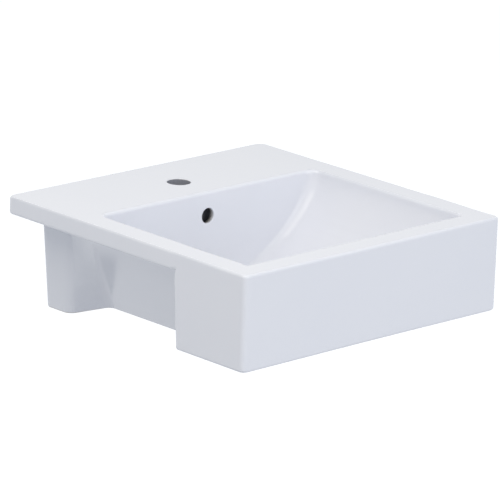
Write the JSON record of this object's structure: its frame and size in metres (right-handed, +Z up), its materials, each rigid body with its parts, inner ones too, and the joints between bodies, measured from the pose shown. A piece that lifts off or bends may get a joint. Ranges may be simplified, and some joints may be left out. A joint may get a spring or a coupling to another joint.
{
  "type": "semi recessed basin",
  "caption": "Square semi recessed washbasin: box front, flange that rests on a worktop, sloping bowl, tap hole, overflow, and a press-to-open waste under the bowl.",
  "frame": {"origin": "on the wall, on the centre line, at the level of the worktop: a point of the basin's rear face, level with the underside of its flange", "axes": "+X to the right as one stands at the basin, +Y into the wall, +Z up"},
  "size_m": [0.5, 0.505, 0.2265],
  "materials": {
    "glaze": "gloss",
    "chromed_brass": "polished",
    "brass": "turned",
    "black_rubber": "matte",
    "white_plastic": "matte",
    "acetal": "satin",
    "spring_steel": "bright"
  },
  "bodies": {
    "basin": {"ceramic_basin": "glaze", "waste_body": "chromed_brass", "flange_gasket": "black_rubber", "tapered_seal": "black_rubber", "slip_washer": "white_plastic", "back_nut": "brass", "cartridge_barrel": "brass", "barrel_cap": "brass", "lock_nut": "brass", "click_spring": "spring_steel"},
    "plug": {"plug_cap": "chromed_brass", "plug_seal": "black_rubber", "plunger": "chromed_brass"},
    "rotor": {"click_rotor": "acetal"}
  },
  "joints": [
    {"name": "plug_press", "type": "slide", "parent": "basin", "child": "plug", "axis": [0, 0, 1], "range_m": [-0.0087, 0], "stiffness_N_per_m": 800, "springref_m": 0.012, "deforming": ["click_spring"]},
    {"name": "rotor_turn", "type": "hinge", "parent": "plug", "child": "rotor", "pos_m": [0, -0.22, -0.1406], "axis": [0, 0, 1], "range_deg": [0, 45]}
  ],
  "couplings": [
    {"joint": "rotor_turn", "follows": "plug_press", "rad_per_m": -90.27}
  ]
}
